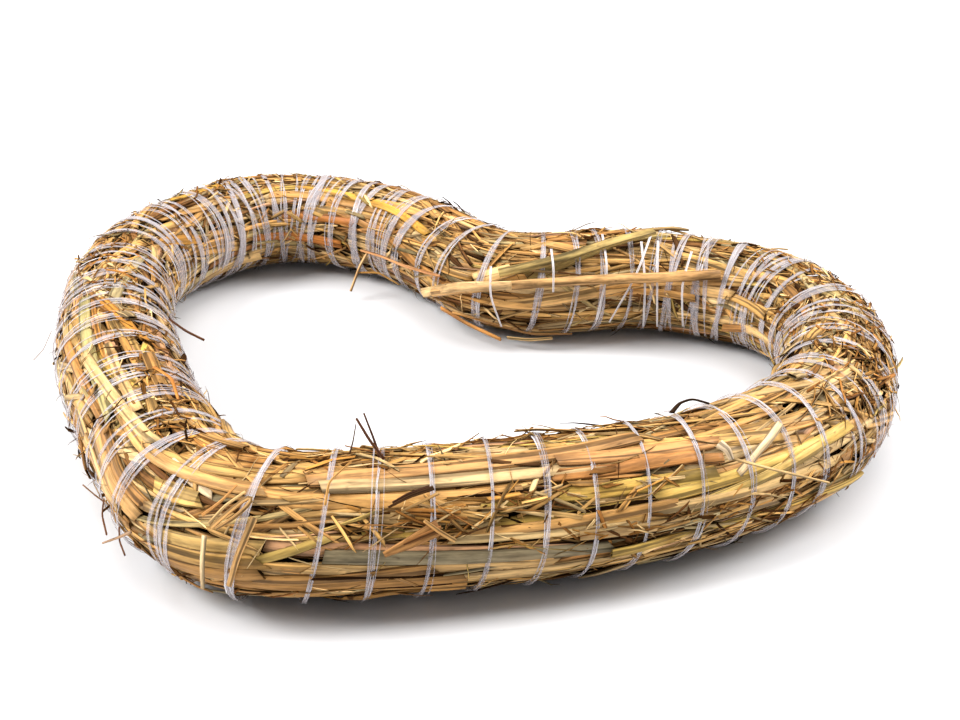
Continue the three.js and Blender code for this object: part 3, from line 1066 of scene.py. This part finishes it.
chaff_pockets = [
    (30, 38, 45, 9), (25, 28, 40, 9), (75, 8, 40, 8), (70, 40, 40, 8), (110, -20, 40, 12), (165, 50, 30, 40),
    (195, 60, 40, 50), (725, 85, 20, 16), (700, 95, 30, 18), (590, 80, 40, 40), (500, 90, 30, 30),
    (240, 90, 30, 40), (330, 80, 20, 30), (15, 95, 25, 15), (60, 120, 40, 20), (745, -35, 20, 12),
    (110, 6, 50, 8), (225, 140, 30, 30), (650, 110, 40, 30),
]
rng = np.random.default_rng(25)
chaff_colours = {
    "#BC9048": 4, "#A0743A": 4, "#D4B06C": 4, "#86602F": 2, "#5A3E22": 1, "#E8D29A": 4,
}
straw_piece(
    "broken_bits", rng,
    scattered(
        rng, 1100, 3, length=(5, 26), width=(0.5, 1.9), thickness_share=(0.2, 0.4),
        spread=0.2, astray=0.3, astray_turn=1.3, curl=0.004,
    ),
    pick_colours(rng, leaf_colours, 1100, 0.24),
    split_material, ribbon_section, points=5, tries=3, stiffness=0.8, sink=0.2, over=0.25,
    look=dict(tip_share=(0.75, 1), taper=3, slant=1.1, lift_chance=0.12, lift=(0.3, 2.0), lift_share=0.5,
        tilt=0.25, end_dark=0.2),
)
straw_piece(
    "chaff", rng,
    scattered(
        rng, 1300, 1, length=(4, 20), width=(0.3, 1.2), thickness_share=(0.2, 0.4),
        spread=0.25, astray=0.35, astray_turn=1.3, curl=0.01, pockets=chaff_pockets,
    ),
    pick_colours(rng, chaff_colours, 1300, 0.28),
    leaf_material, ribbon_section, points=5, tries=1, stiffness=0.8, sink=0.2, over=0.35,
    look=dict(tip_share=(0.7, 1), taper=3, slant=1.1, lift_chance=0.15, lift=(0.3, 1.6), lift_share=0.5,
        tilt=0.3, end_dark=0.1),
)

# Fibres
# Hair-fine fibres and awns that stand out of the straw all over.

fibre_section = np.array([(-1, 0), (1, 0), (0, 1)])
rng = np.random.default_rng(26)
straw_piece(
    "fibres", rng,
    scattered(
        rng, 1300, 1, length=(6, 30), width=(0.2, 0.45), thickness_share=(0.7, 1),
        spread=0.35, astray=0.35, astray_turn=1.5, curl=0.02,
    ),
    pick_colours(rng, leaf_colours, 1300, 0.3),
    leaf_material, fibre_section, points=7, tries=1, stiffness=1.0, sink=0.0, over=0.6,
    look=dict(tip_share=(0.1, 0.5), taper=4, slant=0, lift_chance=0.2, lift=(0.5, 3.5), lift_share=0.5,
        tilt=0, end_dark=0),
)

# Loose ends
# Bits that came out of the binding: dark twigs that stand up on the near limb, three long stalks over the
# hollow of the cleft, a folded strip and frays at the tip, a dark curl, and strips at the left lobe and the
# cleft. Each row is a strip's places, its width at both ends, its thickness and its colour.

loose_rows = [
    ([(15.5, 12, 0.0), (21, 19, 0.7), (28.5, 28, 0.1)], (1.6, 4.2), 0.25, "#A27C4C"),
    ([(17, 15, 0.1), (22, 21, 0.9), (29, 27, 0.3)], (0.5, 1.6), 0.25, "#87623A"),
    ([(25, 33, 0.5), (28, 26, 1.1), (32, 18, 0.5)], (0.9, 1.2), 0.3, "#C9A76C"),
    ([(17, 43, 0.0), (22, 49, 0.6), (28, 54, 0.2)], (0.6, 1.3), 0.3, "#5E4630"),
    ([(18, 46, 0.1), (22, 51, 0.7), (27, 55, 0.3)], (0.5, 0.8), 0.3, "#46342A"),
    ([(20, 40, 0.2), (24, 44, 0.7), (29, 50, 0.4)], (0.5, 0.9), 0.3, "#BFA066"),
    ([(374, 190, 1.0), (361, 168, 1.6), (349, 158, 1.7), (330, 156, 1.7), (299, 156, 1.5), (273, 144, 0.9)],
        (3.2, 3.8), 1.4, "#D4B27C"),
    ([(380, 198, 0.8), (366, 172, 2.2), (354, 161, 2.5)], (4.2, 3.2), 1.0, "#E6CE9C"),
    ([(357, 151, 1.0), (343, 136, 2.0), (324, 120, 1.9), (304, 104, 1.0)], (3.4, 4.0), 1.2, "#B9AB70"),
    ([(746, 22, 0.9), (746, 4, 1.3), (745, -20, 0.9)], (1.5, 1.2), 0.4, "#EADBB2"),
    ([(754, 38, 0.8), (752, 14, 1.3), (750, -12, 0.8)], (1.9, 1.4), 0.4, "#D6B47A"),
    ([(17, 78, 0.8), (14, 92, 2.5), (11, 104, 6.5)], (1.0, 0.7), 0.5, "#6B4A34"),
    ([(16, 80, 0.8), (15, 94, 2.6), (13, 106, 7.5)], (0.8, 0.5), 0.4, "#5A4234"),
    ([(9, 94, -0.8), (10, 104, 0.8), (11, 114, 4.2)], (0.5, 0.3), 0.3, "#5E4C40"),
    ([(422, 184, 0.9), (424, 195, 5.0), (425, 208, 13.0)], (1.4, 1.2), 0.4, "#DDBE8A"),
    ([(399, 208, 0.9), (412, 200, 2.5), (424, 200, 6.0)], (1.3, 0.8), 0.4, "#CDA656"),
    ([(426, 182, 1.6), (408, 180, 1.8), (390, 177, 1.6), (371, 168, 1.3)], (1.2, 1.2), 0.5, "#D0A070"),
    ([(372, 206, 0.6), (364, 212, 1.8), (356, 218, 4.0)], (2.4, 2.2), 0.9, "#CE9C58"),
    ([(355, 226, 1.6), (350, 222, 2.4), (344, 220, 2.0)], (2.4, 1.8), 0.7, "#E6CD92"),
    ([(368, 204, 0.8), (350, 214, 1.8), (338, 216, 1.4)], (1.6, 1.0), 0.5, "#D2A766"),
    ([(636, 144, -0.8), (642, 155, 1.6), (646, 164, 5.5)], (1.4, 0.8), 0.7, "#6A4A36"),
    ([(720, 5, -0.6), (719, 9, 1.2), (717, 14, 4.0)], (0.6, 0.4), 0.3, "#8A6C50"),
    ([(720, 6, -0.4), (723, 3, 1.8), (727, -1, 3.8)], (1.6, 0.8), 0.4, "#7A553A"),
    ([(730, 2, -0.4), (728, -4, 1.8), (725, -11, 4.2)], (0.9, 0.5), 0.4, "#BFA588"),
    ([(726, -3, -0.4), (728, -7, 1.6), (731, -9, 3.4)], (1.2, 0.7), 0.4, "#6B4A2E"),
    ([(747, 28, 1.0), (750, 40, 2.0), (753, 50, 3.0), (754, 47, 3.6), (751.5, 37, 2.6), (748, 28, 1.2)],
        (1.3, 1.0), 0.4, "#DDB97A"),
    ([(746.5, 30, 0.9), (749, 42, 2.4), (752, 52, 2.6)], (1.0, 0.7), 0.3, "#E8CC92"),
    ([(745, 34, 0.9), (748, 45, 1.6), (750, 56, 2.0)], (0.9, 0.6), 0.3, "#C99B5C"),
    ([(98, 104, -0.8), (102, 109, 0.8), (106, 107, 1.4), (110, 101, -0.4)], (1.8, 1.0), 0.5, "#33281F"),
    ([(101.5, 56, 1.2), (102.5, 50, 1.8), (103, 43, 1.2)], (3.2, 1.6), 1.2, "#E8DCC0"),
    ([(103, 44, 1.2), (115, 27, 1.4), (131, 4, 1.0)], (0.9, 0.6), 0.4, "#DCC48E"),
    ([(2.5, 46, 0.8), (3.5, 60, 2.2), (9, 76, 1.2)], (0.7, 0.5), 0.3, "#DDB26C"),
    ([(631, 28, 0.5), (645, 26, 3.5), (657, 28, 8.0)], (0.3, 0.2), 0.2, "#8A7A6C"),
    ([(690, 98, 0.8), (700, 104, 1.8), (712, 100, 1.0)], (1.3, 0.9), 0.4, "#C98E48"),
    ([(612, 88, 0.8), (618, 100, 2.2), (622, 112, 1.4)], (1.2, 1.2), 0.4, "#C48A3A"),
]
loose_points = 13
loose_way_round = 3.0
loose_rings = np.stack([
    free_rings(places, loose_points, ribbon_section - (0, 0.5), width, thickness)
    for places, width, thickness, _ in loose_rows
])
loose_colours = np.array([linear(row[3]) for row in loose_rows]) * straw_albedo
loose_ends = swept_mesh(
    "loose_ends",
    loose_rings,
    np.broadcast_to(loose_colours[:, None, None], loose_rings.shape),
    np.full(len(loose_rows), loose_way_round),
    lengths_along(loose_rings),
)
loose_ends.data.materials.append(split_material)
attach(loose_ends, "root")

# The dust between the stalks
# Little light reaches down between the stalks, and brown dust gathers there, so each stalk is painted darker
# and browner towards its lower edges, as shade and dust, and the gaps are nearly black. On the rope's sides
# the painted shade is deeper than on top, and the lowest straw, next to the table, is painted darkest, as
# shade.

shade_and_dust_reach = 2
gap_start = 0.2
gap_depth_on_top = 2.6
gap_depth_beside = 1.2
gap_shade_share = 0.02
shade_and_dust_tint = (0, 0.05, 0.14)
table_shade_reach = 8
table_shade_share = 0.15
around = heap.copy()
for _ in range(2):
    for axis in (0, 1):
        moved = [np.roll(around, i, axis) for i in range(-shade_and_dust_reach, shade_and_dust_reach + 1)]
        around = sum(moved) / len(moved)
for piece, colours, (distances, angles, heights) in laid_pieces:
    rows, columns = cell_of(distances + 0 * heights, angles + 0 * heights)
    on_top = ease(np.sin(angles), 0, 0.9)
    gap_depth = gap_depth_beside + (gap_depth_on_top - gap_depth_beside) * on_top
    sunk = (around[rows, columns] - heights - gap_start) / (gap_depth - gap_start)
    share = 1 - ease(sunk, 0, 1)[..., None]
    shaded_and_dusty = colours * (gap_shade_share + (1 - gap_shade_share) * share) * (1 - (1 - share) * shade_and_dust_tint)
    # Painted shade near the table: the lowest straw is darkened.
    raised = ease(on_rope(distances, angles, heights)[..., 2:], 1, table_shade_reach)
    shaded_and_dusty *= table_shade_share + (1 - table_shade_share) * raised
    paint(piece.data, shaded_and_dusty)

# The floor and the light
# A pale seamless ground under a wide soft box overhead, bright enough to wash the open ground out to white,
# so only the rope's close shadow shows on it. Smaller soft boxes stand at the left of the tip and behind
# the right lobe.

floor_size = 6.0
floor_mesh = bpy.data.meshes.new("floor")
floor_mesh.from_pydata(
    [(x * floor_size, y * floor_size, 0) for x, y in ((-1, -1), (1, -1), (1, 1), (-1, 1))],
    [],
    [(0, 1, 2, 3)],
)
floor = add_object("floor", floor_mesh)
floor_material = bpy.data.materials.new("matt_white_board")
floor_material.use_nodes = True
floor_shader = floor_material.node_tree.nodes["Principled BSDF"]
floor_shader.inputs["Base Color"].default_value = (0.68, 0.68, 0.69, 1)
floor_shader.inputs["Roughness"].default_value = 0.9
floor_shader.inputs["Specular IOR Level"].default_value = 0.2
floor_mesh.materials.append(floor_material)

# A light tent: bright overhead and dim lower down, with a pale backdrop round the table.
world = bpy.data.worlds.new("studio")
world.use_nodes = True
tent = world.node_tree
tent_way = add_node(tent, "ShaderNodeTexCoord", {}, {})
tent_up = add_node(tent, "ShaderNodeSeparateXYZ", {}, {0: tent_way.outputs["Generated"]})
tent_light = map_range(tent, tent_up.outputs["Z"], 0.0, 1.0, 0.05, 0.65)
backdrop_light = map_range(tent, tent_up.outputs["Z"], 0.0, 0.15, 0.9, 0.0)
all_light = add_node(tent, "ShaderNodeMath", {"operation": "ADD"}, {0: tent_light, 1: backdrop_light})
tent.links.new(all_light.outputs[0], tent.nodes["Background"].inputs["Strength"])
tent.nodes["Background"].inputs["Color"].default_value = (0.98, 0.98, 1.0, 1)
bpy.context.scene.world = world


def soft_light(name, place, size, power):
    """A square soft box, in metres and watts, that is turned to the middle of the heart."""
    data = bpy.data.lights.new(name, "AREA")
    data.shape = "SQUARE"
    data.size = size
    data.energy = power
    light = add_object(name, data)
    light.location = place
    light.rotation_euler = (-Vector(place)).to_track_quat("-Z", "Y").to_euler()


soft_light("left_light", (-0.88, -0.66, 1.0), 0.7, 32)
soft_light("right_light", (1.0, 0.75, 0.95), 0.7, 25)

# The soft box overhead is wide and far off, so it lights all of the ground alike.
overhead = bpy.data.lights.new("overhead_light", "SUN")
overhead.energy = 1.68
overhead.angle = 0.82
overhead_light = add_object("overhead_light", overhead)
overhead_light.rotation_euler = Vector((-0.05, -0.17, -1)).to_track_quat("-Z", "Y").to_euler()

bpy.context.scene.view_settings.view_transform = "Standard"
